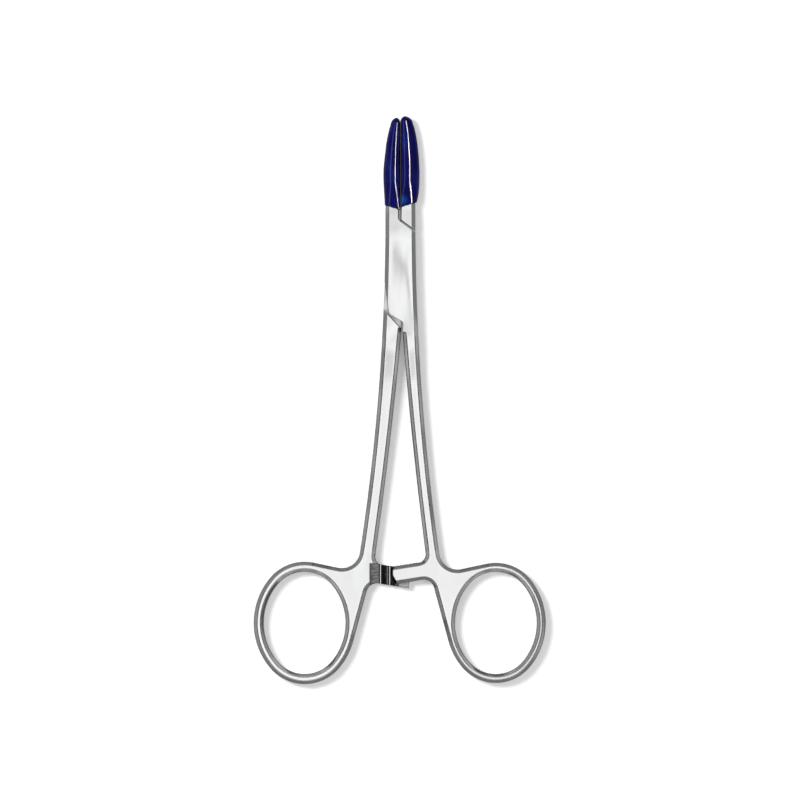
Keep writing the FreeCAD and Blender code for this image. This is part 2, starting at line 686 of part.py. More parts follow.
def box_half():
    """Left jaw, the two cheeks round the slot, right shank and ring, upper ratchet arm."""
    body = forging("box", "tongue", 1)
    finish_jaw(body, "box", 1)
    serrate_jaw(body, "box", 1)
    cut_through(body, "box_notch", notch_cut())
    cut_through(body, "box_cheek_edge", cheek_cut())
    corners = [("-cheek_foot_x", "-cheek_foot"), ("cheek_heel_x", "-cheek_heel")]
    round_edges(body, "box_cheek_corners", "cheek_radius", upright_near(body.Tip.Shape, corners))
    slot = new_sketch(body, "box_slot_plan")
    draw(slot, slot_outline())
    add(body, "Pocket", "box_slot", slot, "tongue_thickness + 2 * lock_play")
    bore(body, "box_bore", "pin_radius")
    thin_arm(body, "box", 1, -1)
    cut_teeth(body, "box", 1, -1)
    cut_through(body, "box_nose", box_nose_cut())
    return body


def tongue_half():
    """Right jaw, thinned tongue, left shank and ring, lower ratchet arm."""
    body = forging("tongue", "box", -1)
    finish_jaw(body, "tongue", -1)
    serrate_jaw(body, "tongue", -1)
    for side, sign_z in (("upper", 1), ("lower", -1)):
        sketch = new_sketch(body, f"tongue_{side}_plan", offset=f"{sign_z} * tongue_thickness / 2")
        draw(sketch, thinned_outline())
        add(body, "Pocket", f"tongue_{side}_face", sketch, "lock_thickness", sign_z > 0, False)
    cut_through(body, "tongue_upper_edge", tongue_upper_trim())
    cut_through(body, "tongue_lower_edge", tongue_lower_trim())
    bore(body, "tongue_bore", "pin_radius + pin_play")
    thin_arm(body, "tongue", -1, 1)
    cut_teeth(body, "tongue", -1, 1)
    cut_through(body, "tongue_nose", turned(tongue_nose_cut(), -1))
    return body


def lock_pin():
    """The rivet, ground flush with both cheeks."""
    pin = document.addObject("Part::Cylinder", "lock_pin")
    pin.Label = "lock_pin"
    bind(pin, "Radius", "pin_radius")
    bind(pin, "Height", "lock_thickness")
    return pin


def sleeve_outline(half):
    """A sleeve from above, inner face beside the middle plane and jaw at -X."""
    hem_x = "(lock_half_width + sleeve_hem_wall)"
    wide = f"{half}_sleeve_width"
    tip_x = f"(sleeve_gap + {half}_sleeve_tip_width)"
    lower = span_radius(f"{wide} - {hem_x}", "sleeve_widest - sleeve_hem")
    upper = span_radius(f"{wide} - {tip_x}", f"{half}_sleeve_tip - sleeve_widest")
    return [
        ("-sleeve_gap", "sleeve_hem"),
        ("-sleeve_gap", f"{half}_sleeve_tip"),
        (f"-{tip_x}", f"{half}_sleeve_tip", "left", upper),
        (f"-{wide}", "sleeve_widest", "left", lower),
        (f"-{hem_x}", "sleeve_hem"),
    ]


def sleeve_waste(half):
    """What is cut away above a sleeve, seen from the side."""
    hem = "(jaw_root_thickness / 2 + sleeve_hem_wall)"
    wide = "(sleeve_thickness / 2)"
    tip = "(sleeve_tip_thickness / 2)"
    high = "(lock_thickness / 2 + 2 * cut_margin)"
    far = f"({half}_sleeve_tip + cut_margin)"
    near = "(sleeve_hem - cut_margin)"
    return [
        (far, tip, "left", span_radius(f"{wide} - {tip}", f"{far} - sleeve_widest")),
        ("sleeve_widest", wide, "left", span_radius(f"{wide} - {hem}", f"sleeve_widest - {near}")),
        (near, hem),
        (near, high),
        (far, high),
    ]


def sleeve(half, label, sign_x, jaw):
    """A dipped vinyl sleeve: a bevelled form with the jaw's own shape taken out of it."""
    form = document.addObject("PartDesign::Body", f"{label}_form")
    plan = new_sketch(form, f"{label}_plan")
    draw(plan, turned(sleeve_outline(half), sign_x))
    add(form, "Pad", f"{label}_blank", plan, "lock_thickness + 2 * cut_margin")
    profile = new_sketch(form, f"{label}_profile", "YZ_Plane")
    draw(profile, sleeve_waste(half))
    draw(profile, turned(sleeve_waste(half), 1, -1))
    add(form, "Pocket", f"{label}_taper", profile, "4 * ring_y")
    hem = number("sleeve_hem") + SAME_PLACE
    bevel_edges(form, f"{label}_bevel", "sleeve_edge_bevel", lambda edge: edge.BoundBox.YMax > hem)
    lift(form)
    skin = document.addObject("Part::Cut", label)
    skin.Label = label
    skin.Base = form
    skin.Tool = jaw
    document.recompute()
    return skin


def lift(body):
    """Bodies are drawn about the lock's middle plane, which lies half the lock above the table."""
    bind(body, "Placement.Base.z", "lock_thickness / 2")
    document.recompute()


def check(parts):
    """Stop on any failed object or bad shape."""
    for thing in document.Objects:
        if {"Invalid", "Error"} & set(thing.State):
            raise RuntimeError(f"{thing.Name} failed: {thing.State}")
    for part in parts:
        shape = part.Shape
        if shape.isNull() or not shape.isValid() or len(shape.Solids) != 1:
            raise RuntimeError(f"{part.Label} has a bad shape: {len(shape.Solids)} solids")


def main():
    box = box_half()
    lift(box)
    tongue = tongue_half()
    lift(tongue)
    pin = lock_pin()
    left = sleeve("box", "left_jaw_sleeve", 1, box)
    right = sleeve("tongue", "right_jaw_sleeve", -1, tongue)
    document.recompute()
    parts = [box, tongue, pin, left, right]
    check(parts)
    os.makedirs(PARTS_FOLDER, exist_ok=True)
    for part in parts:
        part.Shape.exportStep(os.path.join(PARTS_FOLDER, f"{part.Label}.step"))


main()
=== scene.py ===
import json
import math
import bpy
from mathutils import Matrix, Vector

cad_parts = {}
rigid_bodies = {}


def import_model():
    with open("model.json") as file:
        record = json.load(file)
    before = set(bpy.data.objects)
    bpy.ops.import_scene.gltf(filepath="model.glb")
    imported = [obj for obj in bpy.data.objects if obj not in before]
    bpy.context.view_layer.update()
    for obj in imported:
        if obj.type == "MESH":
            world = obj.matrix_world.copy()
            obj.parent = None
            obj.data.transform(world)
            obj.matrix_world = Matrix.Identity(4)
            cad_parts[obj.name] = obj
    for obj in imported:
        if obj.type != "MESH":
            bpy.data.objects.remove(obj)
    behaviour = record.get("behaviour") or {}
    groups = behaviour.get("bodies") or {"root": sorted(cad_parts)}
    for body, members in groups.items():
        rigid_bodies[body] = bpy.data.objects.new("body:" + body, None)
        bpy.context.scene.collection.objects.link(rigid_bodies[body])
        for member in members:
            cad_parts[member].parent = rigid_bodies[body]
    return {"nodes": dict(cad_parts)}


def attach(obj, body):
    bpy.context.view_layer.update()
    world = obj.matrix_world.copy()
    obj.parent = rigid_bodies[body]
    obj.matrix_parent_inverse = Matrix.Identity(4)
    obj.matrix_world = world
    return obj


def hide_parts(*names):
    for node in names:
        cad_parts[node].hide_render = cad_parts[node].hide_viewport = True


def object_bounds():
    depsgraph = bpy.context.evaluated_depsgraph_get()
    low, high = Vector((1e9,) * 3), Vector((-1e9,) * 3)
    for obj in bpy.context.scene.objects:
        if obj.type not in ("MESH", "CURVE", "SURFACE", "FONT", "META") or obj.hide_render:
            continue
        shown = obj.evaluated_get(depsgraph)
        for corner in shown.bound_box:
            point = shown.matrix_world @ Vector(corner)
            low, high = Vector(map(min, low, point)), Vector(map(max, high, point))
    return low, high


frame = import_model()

# Mosquito forceps, polished steel with dipped vinyl jaws, lying on a pale table and seen from
# straight above. Metres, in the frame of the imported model: +Y to the jaw tips, +Z up.

MM = 0.001

for leftover in [thing for thing in bpy.data.objects if thing.name in ("Cube", "Light", "Camera")]:
    bpy.data.objects.remove(leftover)
CAD_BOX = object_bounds()


# The picture's view, straight down

VIEW_CENTRE = (-0.09 * MM, -28.71 * MM)
VIEW_WIDTH = 180.14 * MM
CAMERA_HEIGHT = 0.6


def make_camera():
    data = bpy.data.cameras.new("camera")
    data.type = "ORTHO"
    data.ortho_scale = VIEW_WIDTH
    camera = bpy.data.objects.new("camera", data)
    camera.location = (*VIEW_CENTRE, CAMERA_HEIGHT)
    bpy.context.scene.collection.objects.link(camera)
    bpy.context.scene.camera = camera


# Helpers for shader nodes

SAMPLES = 8


class Nodes:
    """A material's or world's node tree, built one node at a time."""

    def __init__(self, owner):
        owner.use_nodes = True
        self.tree = owner.node_tree
        self.tree.nodes.clear()

    def add(self, kind, inputs=None, **settings):
        node = self.tree.nodes.new(f"ShaderNode{kind}")
        for name, value in settings.items():
            setattr(node, name, value)
        for name, value in (inputs or {}).items():
            self.put(node, name, value)
        return node

    def put(self, node, name, value):
        if isinstance(value, bpy.types.NodeSocket):
            self.tree.links.new(value, node.inputs[name])
        else:
            node.inputs[name].default_value = value

    def math(self, operation, first, second=0.0):
        return self.add("Math", {0: first, 1: second}, operation=operation).outputs[0]

    def vector(self, operation, first, second=(0, 0, 0), result="Vector"):
        return self.add("VectorMath", {0: first, 1: second}, operation=operation).outputs[result]

    def remap(self, value, before, after=(0.0, 1.0), **settings):
        """A value's span before, carried over to the span after and held at its ends."""
        inputs = {"Value": value, "From Min": before[0], "From Max": before[1]}
        inputs.update({"To Min": after[0], "To Max": after[1]})
        return self.add("MapRange", inputs, **settings).outputs["Result"]

    def ramp(self, factor, stops):
        node = self.add("ValToRGB", {"Fac": factor})
        elements = node.color_ramp.elements
        while len(elements) < len(stops):
            elements.new(0.5)
        for element, (place, colour) in zip(elements, stops):
            element.position = place
            element.color = (*colour, 1)
        return node.outputs["Color"]

    def own(self):
        """The object's own coordinates, in metres."""
        return self.add("TexCoord").outputs["Object"]

    def axes(self, vector):
        """The X, Y and Z of a vector."""
        return self.add("SeparateXYZ", {"Vector": vector}).outputs

    def level(self):
        """The object's own coordinates without their height."""
        return self.vector("MULTIPLY", self.own(), (1, 1, 0))

    def place(self, scale, turn=0.0):
        """The object's own coordinates, stretched, and turned about Z."""
        inputs = {"Vector": self.own(), "Scale": scale, "Rotation": (0, 0, turn)}
        return self.add("Mapping", inputs).outputs["Vector"]

    def noise(self, vector, detail):
        inputs = {"Vector": vector, "Scale": 1.0, "Detail": detail, "Roughness": 0.5}
        return self.add("TexNoise", inputs).outputs["Fac"]

    def openness(self, reach):
        """1 where nothing of the object stands within reach of the surface, down to 0 in a crevice."""
        return self.add("AmbientOcclusion", {"Distance": reach}, samples=SAMPLES).outputs["AO"]

    def mix(self, factor, first, second):
        """Two colours, blended: the node's own sockets for them are 6 and 7."""
        node = self.add("Mix", {"Factor": factor}, data_type="RGBA")
        for socket, colour in ((6, first), (7, second)):
            self.put(node, socket, colour if isinstance(colour, bpy.types.NodeSocket) else (*colour, 1))
        return node.outputs[2]

    def bump(self, height, distance, strength=1.0, normal=None):
        inputs = {"Height": height, "Distance": distance, "Strength": strength}
        if normal:
            inputs["Normal"] = normal
        return self.add("Bump", inputs).outputs["Normal"]

    def finish(self, shader, kind="OutputMaterial"):
        self.add(kind, {"Surface": shader})


def grey(level):
    return (level, level, level)


# The steel's looks

RATCHET_X = (-6.9, 2.4)
RATCHET_Y = (-71.5, -62.5)
RATCHET_Z = (1.6, 2.335)
# The lower arm's end, where the same painted shade goes part way.
ARM_END_X = (-0.6, 2.4)
ARM_END_Z = (1.6, 2.40)
ARM_END_SHADE_SHARE = 0.7

LOCK_Y = (-14.3, 16.0)
RATCHET_REACH = 71.0 * MM
FINE_CREASE = 0.34 * MM
FULL_CREASE = 0.62 * MM
PIN_REACH = 1.8 * MM

CROWN_CENTRE = 0.3 * MM
CROWN_SKEW = 0.16
CROWN_CURVE = -5.4
CROWN_MIDDLE = 1.5 * MM
CROWN_FADE = (18 * MM, 11 * MM)

POLISH_CLOUD_SCALE = (90, 90, 90)
POLISH_CLOUD_SPAN = (0.35, 0.7)
POLISH_TONES = [(0.3, grey(0.76)), (0.7, (0.81, 0.815, 0.82))]
POLISH_ROUGHNESS = (0.05, 0.10)
SPOT_SCALE = (1600, 1600, 1600)
SPOT_LEVEL = 0.72
SPOT_ROUGHNESS = 0.06
MILLING_SCALE = (900, 5200, 900)
# Painted shade: near-black tones on the ratchet's milled recess and the arm's end, for the shade and dark
# reflections there. The milled roughness is the finish's own.
MILLED_SHADE_TONES = [(0.3, grey(0.06)), (0.7, grey(0.24))]
MILLED_ROUGHNESS = 0.08
# Painted shade: the steel's colour goes near-black where the surface is shut in, in crevices, seams and where
# the ratchet arms meet.
CREVICE_SHADE_REACH = 1.3 * MM
CREVICE_SHADE_SHARE = [(0.30, grey(0.72)), (0.62, grey(0.34)), (0.90, grey(0.0))]
CREVICE_SHADE_COLOUR = (0.05, 0.05, 0.052)
WAVE_SCALE = (150, 45, 150)
WAVE_TURN = 0.35
WAVE_HEIGHT = 0.22 * MM
GRAIN_SCALE = (5200, 260, 5200)
GRAIN_HEIGHT = 0.001 * MM
GRAIN_STRENGTH = 0.6


def within(nodes, value, low, high):
    """1 where a length lies between two lengths that are given in millimetres."""
    above = nodes.math("GREATER_THAN", value, low * MM)
    below = nodes.math("LESS_THAN", value, high * MM)
    return nodes.math("MULTIPLY", above, below)


def ratchet_milled_and_shaded(nodes):
    """1 on the milled floor and teeth of the lower ratchet arm, which buffing doesn't reach, and part way at
    the arm's end: the mask for their rougher finish and for painted shade there.
    """
    place = nodes.axes(nodes.own())
    floors = nodes.math(
        "MULTIPLY", within(nodes, place["X"], *RATCHET_X), within(nodes, place["Z"], *RATCHET_Z))
    end = nodes.math(
        "MULTIPLY", within(nodes, place["X"], *ARM_END_X), within(nodes, place["Z"], *ARM_END_Z))
    milled_and_shaded = nodes.math("MAXIMUM", floors, nodes.math("MULTIPLY", end, ARM_END_SHADE_SHARE))
    return nodes.math("MULTIPLY", milled_and_shaded, within(nodes, place["Y"], *RATCHET_Y))


def soft_creases(nodes):
    """The normal with the bevels' creases rounded, as buffing leaves them: finer at lock and ratchet."""
    y = nodes.axes(nodes.own())["Y"]
    reach = nodes.vector("LENGTH", nodes.level(), result="Value")
    in_middle = nodes.math("LESS_THAN", reach, RATCHET_REACH)
    at_ratchet = nodes.math("MULTIPLY", within(nodes, y, *RATCHET_Y), in_middle)
    fine = nodes.math("MAXIMUM", within(nodes, y, *LOCK_Y), at_ratchet)
    radius = nodes.remap(fine, (0, 1), (FULL_CREASE, FINE_CREASE))
    away = nodes.math("GREATER_THAN", reach, PIN_REACH)
    rounding = nodes.math("MULTIPLY", radius, away)
    return nodes.add("Bevel", {"Radius": rounding}, samples=SAMPLES).outputs["Normal"]


def lock_crown(nodes):
    """Height of the faint crown that grinding leaves over the box lock, askew to its length."""
    place = nodes.axes(nodes.own())
    skew = nodes.math("ADD", nodes.math("MULTIPLY", place["Y"], CROWN_SKEW), -CROWN_CENTRE)
    off = nodes.math("ADD", place["X"], skew)
    crown = nodes.math("MULTIPLY", nodes.math("MULTIPLY", off, off), CROWN_CURVE)
    along = nodes.math("ABSOLUTE", nodes.math("SUBTRACT", place["Y"], CROWN_MIDDLE))
    fade = nodes.remap(along, CROWN_FADE, interpolation_type="SMOOTHSTEP")
    return nodes.math("MULTIPLY", crown, fade)


def steel_material():
    """Polished stainless steel: a faint buffing grain, slow waves, fine wear, and painted shade in crevices
    and on the ratchet's milled recess.
    """
    material = bpy.data.materials.new("steel_polished")
    nodes = Nodes(material)
    grain = nodes.noise(nodes.place(GRAIN_SCALE), detail=4)
    waves = nodes.noise(nodes.place(WAVE_SCALE, WAVE_TURN), detail=1)
    cloud = nodes.noise(nodes.place(POLISH_CLOUD_SCALE), detail=3)
    specks = nodes.noise(nodes.place(SPOT_SCALE), detail=2)
    milling = nodes.noise(nodes.place(MILLING_SCALE), detail=3)

    # Painted shade on the ratchet's recess and the arm's end. The same mask makes them rougher.
    milled_and_shaded = ratchet_milled_and_shaded(nodes)
    tone_with_ratchet_shade = nodes.mix(milled_and_shaded, nodes.ramp(cloud, POLISH_TONES), nodes.ramp(milling, MILLED_SHADE_TONES))
    # Painted shade in crevices and contact spots, mixed into the colour.
    painted_crevice_shade = nodes.ramp(nodes.openness(CREVICE_SHADE_REACH), CREVICE_SHADE_SHARE)
    colour = nodes.mix(painted_crevice_shade, tone_with_ratchet_shade, CREVICE_SHADE_COLOUR)

    dull = nodes.remap(cloud, POLISH_CLOUD_SPAN, POLISH_ROUGHNESS)
    spots = nodes.math("MULTIPLY", nodes.math("GREATER_THAN", specks, SPOT_LEVEL), SPOT_ROUGHNESS)
    uneven = nodes.math("ADD", dull, spots)
    rough = nodes.math("ADD", uneven, nodes.math("MULTIPLY", milled_and_shaded, MILLED_ROUGHNESS))
    ground = nodes.math("ADD", nodes.math("MULTIPLY", waves, WAVE_HEIGHT), lock_crown(nodes))
    wavy = nodes.bump(ground, 1.0, normal=soft_creases(nodes))
    buffed = nodes.bump(grain, GRAIN_HEIGHT, GRAIN_STRENGTH, wavy)
    shader = nodes.add("BsdfPrincipled", {
        "Base Color": colour, "Metallic": 1.0, "Roughness": rough, "Normal": buffed,
    })
    nodes.finish(shader.outputs[0])
    return material


# The vinyl's looks

DYE_SCALE = (420, 150, 420)
DYE_TONES = [
    (0.30, (0.0045, 0.0035, 0.050)), (0.55, (0.0065, 0.006, 0.085)), (0.80, (0.008, 0.022, 0.150)),
]
THIN_SPOT = (0.5 * MM, 16.4 * MM, 4.6 * MM)
THIN_REACH = 1.3 * MM
THIN_SHARE = 0.9
THIN_COLOUR = (0.002, 0.07, 0.28)
SHADE_REACH = 1.6 * MM
SHADE_SHARE = [(0.35, grey(0.85)), (0.60, grey(0.45)), (0.80, grey(0.0))]
SHADE_COLOUR = (0.0012, 0.0012, 0.009)
RUN_SCALE = (900, 110, 900)
RUN_HEIGHT = 0.1 * MM
RUN_STRENGTH = 0.22
PORE_SCALE = (3200, 3200, 3200)
PORE_SPAN = (0.3, 0.7)
PORE_HEIGHT = 0.004 * MM
PORE_STRENGTH = 0.5
VINYL_ROUGHNESS = (0.05, 0.10)
VINYL_BODY = {
    "IOR": 1.5, "Specular IOR Level": 0.36,
    "Subsurface Weight": 0.08, "Subsurface Radius": (0.0002, 0.0003, 0.0012), "Subsurface Scale": 1.0,
}


def vinyl_material():
    """Dipped vinyl: deep blue, glossy, a little cloudy, with runs along its length."""
    material = bpy.data.materials.new("vinyl_dip")
    nodes = Nodes(material)
    cloud = nodes.noise(nodes.place(DYE_SCALE), detail=3)
    runs = nodes.noise(nodes.place(RUN_SCALE), detail=2)
    pores = nodes.noise(nodes.place(PORE_SCALE), detail=2)
    reach = nodes.vector("DISTANCE", nodes.own(), THIN_SPOT, result="Value")
    thin = nodes.remap(reach, (THIN_REACH, 0.0), (0.0, THIN_SHARE))
    dyed = nodes.mix(thin, nodes.ramp(cloud, DYE_TONES), THIN_COLOUR)
    colour = nodes.mix(nodes.ramp(nodes.openness(SHADE_REACH), SHADE_SHARE), dyed, SHADE_COLOUR)
    wavy = nodes.bump(runs, RUN_HEIGHT, RUN_STRENGTH)
    shader = nodes.add("BsdfPrincipled", {
        "Base Color": colour,
        "Roughness": nodes.remap(pores, PORE_SPAN, VINYL_ROUGHNESS),
        "Normal": nodes.bump(pores, PORE_HEIGHT, PORE_STRENGTH, wavy),
        **VINYL_BODY,
    })
    nodes.finish(shader.outputs[0])
    return material


# The steel pieces, which keep their solid models' meshes

SMOOTH_BELOW = math.radians(20)
WELD_REACH = 0.001 * MM
FACE_WEIGHT = 70


def smoothing_group():
    """Smooth faces, with the edges that turn by more than SMOOTH_BELOW kept sharp."""
    group = bpy.data.node_groups.new("smooth_faces", "GeometryNodeTree")
    for way in ("INPUT", "OUTPUT"):
        group.interface.new_socket("Geometry", in_out=way, socket_type="NodeSocketGeometry")
    nodes, links = group.nodes, group.links
    angle = nodes.new("GeometryNodeInputMeshEdgeAngle").outputs["Unsigned Angle"]
    steep = nodes.new("ShaderNodeMath")
    steep.operation = "GREATER_THAN"
    links.new(angle, steep.inputs[0])
    steep.inputs[1].default_value = SMOOTH_BELOW
    faces = nodes.new("GeometryNodeSetShadeSmooth")
    edges = nodes.new("GeometryNodeSetShadeSmooth")
    edges.domain = "EDGE"
    edges.inputs["Shade Smooth"].default_value = False
    links.new(nodes.new("NodeGroupInput").outputs[0], faces.inputs["Geometry"])
    links.new(faces.outputs[0], edges.inputs["Geometry"])
    links.new(steep.outputs[0], edges.inputs["Selection"])
    links.new(edges.outputs[0], nodes.new("NodeGroupOutput").inputs[0])
    return group


def dress_steel(node, material, smoothing):
    node.data.materials.clear()
    node.data.materials.append(material)
    weld = node.modifiers.new("weld", "WELD")
    weld.merge_threshold = WELD_REACH
    smooth = node.modifiers.new("smooth", "NODES")
    smooth.node_group = smoothing
    shade = node.modifiers.new("shade", "WEIGHTED_NORMAL")
    shade.weight = FACE_WEIGHT
    shade.keep_sharp = True


# The vinyl sleeves, in millimetres

# A section is the upper half of a sleeve's outline, as shares of its width and half thickness, from
# the face that meets the other jaw. A station is y, the outer edge and half the thickness there.

INNER_X = 0.012
CENTRE_Z = 2.4
WALL = 0.26
FACING_WALL = 0.6
RING_POINTS = 56
BODY_STEPS = 44
TIP_STEPS = 16
TIP_POWERS = (1.6, 2.1, 2.0)
HEM_SLOPE = 0.3
HEM_BLEND = 6.0
HEM_FADE = 3.2
HEM_LIP = 0.10
HEM_RIPPLE = 0.05
RIPPLE_WAYS = (5.3, 1.7)
HEM_SECTION = [
    (0.0, 0.0), (0.0, 0.50), (0.0, 0.92), (0.03, 1.08), (0.22, 1.12), (0.50, 1.12), (0.77, 1.06),
    (0.98, 0.88), (1.05, 0.50), (1.06, 0.0),
]
LEFT = {
    "side": -1,
    "tip": 34.85,
    "apex": 0.95,
    "section": [
        (0.0, 0.0), (0.0, 0.36), (0.02, 0.66), (0.12, 0.94), (0.30, 1.12), (0.50, 1.15), (0.72, 1.02),
        (0.92, 0.74), (1.04, 0.38), (1.06, 0.0),
    ],
    "stations": [
        (14.2, 3.54, 2.22), (16.0, 3.58, 2.25), (18.5, 3.70, 2.32), (21.0, 3.83, 2.36),
        (23.5, 3.79, 2.34), (26.5, 3.50, 2.22), (29.0, 3.20, 2.06), (31.0, 2.84, 1.88),
        (32.4, 2.50, 1.74), (33.4, 2.20, 1.62),
    ],
}
RIGHT = {
    "side": 1,
    "tip": 35.2,
    "apex": 1.15,
    "section": [
        (0.0, 0.0), (0.0, 0.38), (0.02, 0.70), (0.10, 0.96), (0.28, 1.14), (0.48, 1.13), (0.70, 0.96),
        (0.90, 0.70), (1.04, 0.38), (1.06, 0.0),
    ],
    "stations": [
        (14.8, 3.72, 2.22), (16.6, 3.94, 2.26), (18.6, 4.19, 2.33), (21.0, 4.31, 2.37),
        (23.5, 4.29, 2.35), (26.5, 4.11, 2.24), (29.0, 3.85, 2.09), (31.0, 3.52, 1.92),
        (32.6, 3.16, 1.76), (33.8, 2.76, 1.62),
    ],
}


def section_ring(section):
    """A cross-section as a smooth closed curve, from 0 to 1 across and -1 to 1 in height."""
    lower = [(u, -w) for u, w in reversed(section[1:-1])]
    controls = section + lower
    points = []
    for step in range(RING_POINTS):
        place = step * len(controls) / RING_POINTS
        index, t = int(place), place % 1
        weights = ((1 - t) ** 3, 3 * t ** 3 - 6 * t * t + 4, -3 * t ** 3 + 3 * t * t + 3 * t + 1, t ** 3)
        around = [controls[(index + shift) % len(controls)] for shift in (-1, 0, 1, 2)]
        points.append(tuple(sum(w * p[axis] for w, p in zip(weights, around)) / 6 for axis in (0, 1)))
    low = min(u for u, _ in points)
    high = max(u for u, _ in points)
    top = max(w for _, w in points)
    return [((u - low) / (high - low), w / top) for u, w in points]


def between(stations, y):
    """Outer edge and half thickness at y, on a smooth curve through the stations."""
    index = max(i for i, station in enumerate(stations[:-1]) if station[0] <= y or i == 0)
    before, first = stations[max(index - 1, 0)], stations[index]
    last, after = stations[index + 1], stations[min(index + 2, len(stations) - 1)]
    t = (y - first[0]) / (last[0] - first[0])
    values = []
    for axis in (1, 2):
        a, b, c, d = (station[axis] for station in (before, first, last, after))
        curve = 2 * b + (c - a) * t + (2 * a - 5 * b + 4 * c - d) * t * t + (3 * b - a - 3 * c + d) * t ** 3
        values.append(curve / 2)
    return values


def sleeve_rings(form, wall):
    """Rings of points from the hem to the tip, `wall` inside the outer skin, and the tip's point."""
    square, domed = section_ring(HEM_SECTION), section_ring(form["section"])
    stations, apex = form["stations"], form["apex"]
    hem, shoulder = stations[0][0], stations[-1][0]
    end = form["tip"] - wall
    levels = [hem + (shoulder - hem) * step / BODY_STEPS for step in range(BODY_STEPS + 1)]
    turns = [math.pi / 2 * step / TIP_STEPS for step in range(1, TIP_STEPS)]
    levels += [shoulder + (end - shoulder) * math.sin(turn) for turn in turns]
    rings = []
    for y in levels:
        outer, half = between(stations, min(y, shoulder))
        share = max(y - shoulder, 0) / (end - shoulder)
        keep_outer, keep_inner, keep_height = ((1 - share ** power) ** (1 / power) for power in TIP_POWERS)
        fade = max(0, 1 - (y - hem) / HEM_FADE) ** 2
        blend = min((y - hem) / HEM_BLEND, 1)
        near, far = INNER_X + wall * FACING_WALL, outer - wall
        points = []
        for (u1, w1), (u2, w2) in zip(square, domed):
            u = u1 + (u2 - u1) * blend
            w = w1 + (w2 - w1) * blend
            x = near + u * (far - near)
            x = apex + (x - apex) * (keep_outer if x > apex else keep_inner)
            z = CENTRE_Z + w * (half - wall) * keep_height
            ripple = HEM_RIPPLE * math.sin(RIPPLE_WAYS[0] * x + RIPPLE_WAYS[1] * w)
            points.append((x, y + fade * (HEM_SLOPE * (x - INNER_X) + ripple), z))
        rings.append(points)
    return rings, (apex, end, CENTRE_Z)


def make_sleeve(name, node, body, form, material):
    """A dipped sleeve as a closed shell: outer skin, rounded hem and the inside that the jaw fills."""
    outer, outer_tip = sleeve_rings(form, 0)
    inner, inner_tip = sleeve_rings(form, WALL)
    lip = [
        ((x1 + x2) / 2, (y1 + y2) / 2 - HEM_LIP, (z1 + z2) / 2)
        for (x1, y1, z1), (x2, y2, z2) in zip(outer[0], inner[0])
    ]
    rings = list(reversed(outer)) + [lip] + inner
    vertices = [outer_tip] + [point for ring in rings for point in ring] + [inner_tip]
    count = RING_POINTS
    faces = []
    for step in range(count):
        after = (step + 1) % count
        faces.append((0, 1 + step, 1 + after))
        for level in range(len(rings) - 1):
            low, high = 1 + level * count, 1 + (level + 1) * count
            faces.append((low + step, high + step, high + after, low + after))
        last = 1 + (len(rings) - 1) * count
        faces.append((last + after, last + step, len(vertices) - 1))
    side = form["side"]
    if side < 0:
        faces = [tuple(reversed(face)) for face in faces]
    mesh = bpy.data.meshes.new(name)
    mesh.from_pydata([(side * x * MM, y * MM, z * MM) for x, y, z in vertices], [], faces)
    mesh.validate()
    mesh.shade_smooth()
    sleeve = bpy.data.objects.new(name, mesh)
    bpy.context.scene.collection.objects.link(sleeve)
    mesh.materials.append(material)
    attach(sleeve, body)
    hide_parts(node)
    return sleeve


# The floor, what the steel mirrors, and the light

FLOOR_SIZE = 6.0
FLOOR_DROP = 0.02 * MM
FLOOR_COLOUR = (0.90, 0.90, 0.905)
MIRRORED_FLOOR = (0.20, 0.20, 0.202)
FLOOR_LIFT = 0.27

DOME_RADIUS = 1.5
CEILING_TONES = [
    (0.0, grey(0.31)), (0.018, grey(0.47)), (0.035, grey(0.76)), (0.06, grey(0.76)), (0.10, grey(0.62)),
    (0.17, grey(0.62)), (0.22, grey(0.95)), (0.30, grey(1.0)), (0.36, grey(0.75)),
]
SIDE_TONES = [(0.42, grey(0.02)), (0.74, grey(0.01)), (0.84, grey(0.22)), (1.0, grey(0.28))]
END_TONES = [
    (0.42, grey(0.04)), (0.52, grey(0.20)), (0.66, grey(0.40)), (0.86, grey(0.40)), (0.97, grey(0.14)),
]
SIDE_TO_END = (0.35, 0.75)
DRIFT_SCALE = (14, 5, 14)
DRIFT_TURN = 0.6
DRIFT_SPAN = (0.3, 0.7)
DOME_STRENGTH = (1.27, 1.6)
SECOND_MIRRORING = 0.45

WORLD_LIGHT = 0.42
WORLD_WHITE = 1.0


def seen(nodes):
    """1 for rays from the camera and for those that a glossy or clear surface sends on."""
    path = nodes.add("LightPath").outputs
    mirrored = nodes.math("MAXIMUM", path["Is Glossy Ray"], path["Is Transmission Ray"])
    return nodes.math("MAXIMUM", path["Is Camera Ray"], mirrored)


def make_floor():
    """A pale table, a little whiter to the camera and darker in the steel than it is lit."""
    bpy.ops.mesh.primitive_plane_add(size=FLOOR_SIZE, location=(0, 0, CAD_BOX[0].z - FLOOR_DROP))
    floor = bpy.context.object
    floor.name = "floor"
    material = bpy.data.materials.new("floor")
    nodes = Nodes(material)
    path = nodes.add("LightPath").outputs
    table = nodes.add("BsdfDiffuse", {"Color": nodes.mix(path["Is Glossy Ray"], FLOOR_COLOUR, MIRRORED_FLOOR)})
    lift = nodes.add("Emission", {"Strength": nodes.math("MULTIPLY", path["Is Camera Ray"], FLOOR_LIFT)})
    nodes.finish(nodes.add("AddShader", {0: table.outputs[0], 1: lift.outputs[0]}).outputs[0])
    floor.data.materials.append(material)


def lit_only(light, pieces):
    """Let a light reach these pieces alone."""
    group = bpy.data.collections.new(f"{light.name}_reaches")
    for piece in pieces:
        group.objects.link(piece)
    light.light_linking.receiver_collection = group


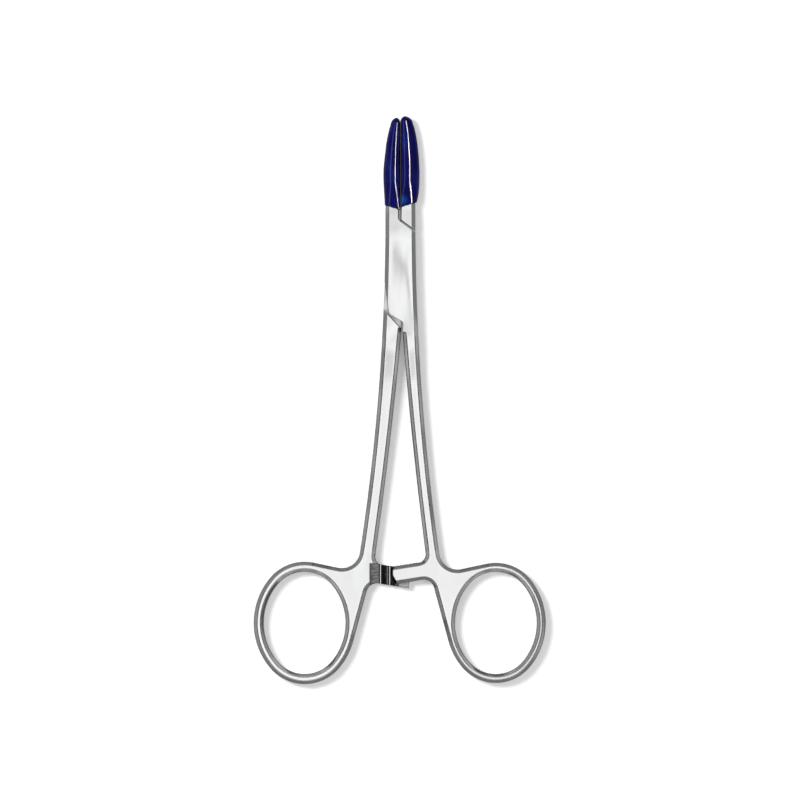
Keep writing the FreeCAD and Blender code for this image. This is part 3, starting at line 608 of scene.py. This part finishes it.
def make_dome(pieces):
    """What the steel mirrors: a grey middle, a bright ceiling, dark sides and grey ends."""
    bpy.ops.mesh.primitive_uv_sphere_add(segments=64, ring_count=32, radius=DOME_RADIUS)
    dome = bpy.context.object
    dome.name = "reflector"
    dome.data.shade_smooth()
    material = bpy.data.materials.new("reflector")
    nodes = Nodes(material)
    height = nodes.math("DIVIDE", nodes.axes(nodes.own())["Z"], DOME_RADIUS)
    from_top = nodes.math("DIVIDE", nodes.math("ARCCOSINE", height), math.pi / 2)
    sides = nodes.ramp(from_top, CEILING_TONES + SIDE_TONES)
    ends = nodes.ramp(from_top, CEILING_TONES + END_TONES)
    facing = nodes.axes(nodes.vector("NORMALIZE", nodes.level()))
    lengthwise = nodes.math("ABSOLUTE", facing["Y"])
    tone = nodes.mix(nodes.remap(lengthwise, SIDE_TO_END), sides, ends)
    drift = nodes.noise(nodes.place(DRIFT_SCALE, DRIFT_TURN), detail=2)
    patchy = nodes.remap(drift, DRIFT_SPAN, DOME_STRENGTH)
    bounces = nodes.add("LightPath").outputs["Glossy Depth"]
    dimmed = nodes.remap(bounces, (1, 2), (1.0, SECOND_MIRRORING))
    strength = nodes.math("MULTIPLY", patchy, dimmed)
    ceiling = nodes.add("Emission", {"Color": tone, "Strength": strength})
    nodes.finish(ceiling.outputs[0])
    dome.data.materials.append(material)
    for kind in ("camera", "diffuse", "transmission", "volume_scatter", "shadow"):
        setattr(dome, f"visible_{kind}", False)
    lit_only(dome, pieces)


def make_lamp(name, place, size, power, pieces=(), colour=(1, 1, 1)):
    """A soft lamp that faces the forceps. One for some pieces alone shows only in their gloss."""
    data = bpy.data.lights.new(name, "AREA")
    data.shape = "RECTANGLE"
    data.size, data.size_y = size
    data.energy = power
    data.color = colour
    lamp = bpy.data.objects.new(name, data)
    lamp.location = place
    target = Vector((0, VIEW_CENTRE[1], 0))
    lamp.rotation_euler = (target - Vector(place)).to_track_quat("-Z", "Y").to_euler()
    bpy.context.scene.collection.objects.link(lamp)
    if pieces:
        lit_only(lamp, pieces)
        lamp.visible_diffuse = False
    else:
        lamp.visible_glossy = False


def make_world():
    world = bpy.data.worlds.new("world")
    bpy.context.scene.world = world
    nodes = Nodes(world)
    strength = nodes.remap(seen(nodes), (0, 1), (WORLD_LIGHT, WORLD_WHITE))
    back = nodes.add("Background", {"Color": (1, 1, 1, 1), "Strength": strength})
    nodes.finish(back.outputs[0], "OutputWorld")


def main():
    make_camera()
    steel = steel_material()
    smoothing = smoothing_group()
    steel_pieces = [frame["nodes"][name] for name in ("box_half", "tongue_half", "lock_pin")]
    for piece in steel_pieces:
        dress_steel(piece, steel, smoothing)
    vinyl = vinyl_material()
    sleeves = [
        make_sleeve("left_vinyl", "left_jaw_sleeve", "box_side", LEFT, vinyl),
        make_sleeve("right_vinyl", "right_jaw_sleeve", "tongue_side", RIGHT, vinyl),
    ]
    make_floor()
    make_dome(steel_pieces)
    make_lamp("key", (-0.42, 0.20, 0.76), size=(0.24, 0.34), power=6.2)
    make_lamp("fill", (0.40, -0.10, 0.82), size=(0.10, 0.62), power=0.8)
    make_lamp("streak", (0.42, 0.02, 0.72), size=(1.1, 0.085), power=20.0,
              pieces=sleeves, colour=(1.0, 0.95, 0.9))
    make_lamp("sheen", (-0.52, 0.02, 0.62), size=(0.9, 0.16), power=1.6,
              pieces=sleeves, colour=(0.35, 0.5, 1.0))
    make_world()
    bpy.context.scene.view_settings.view_transform = "Standard"


main()
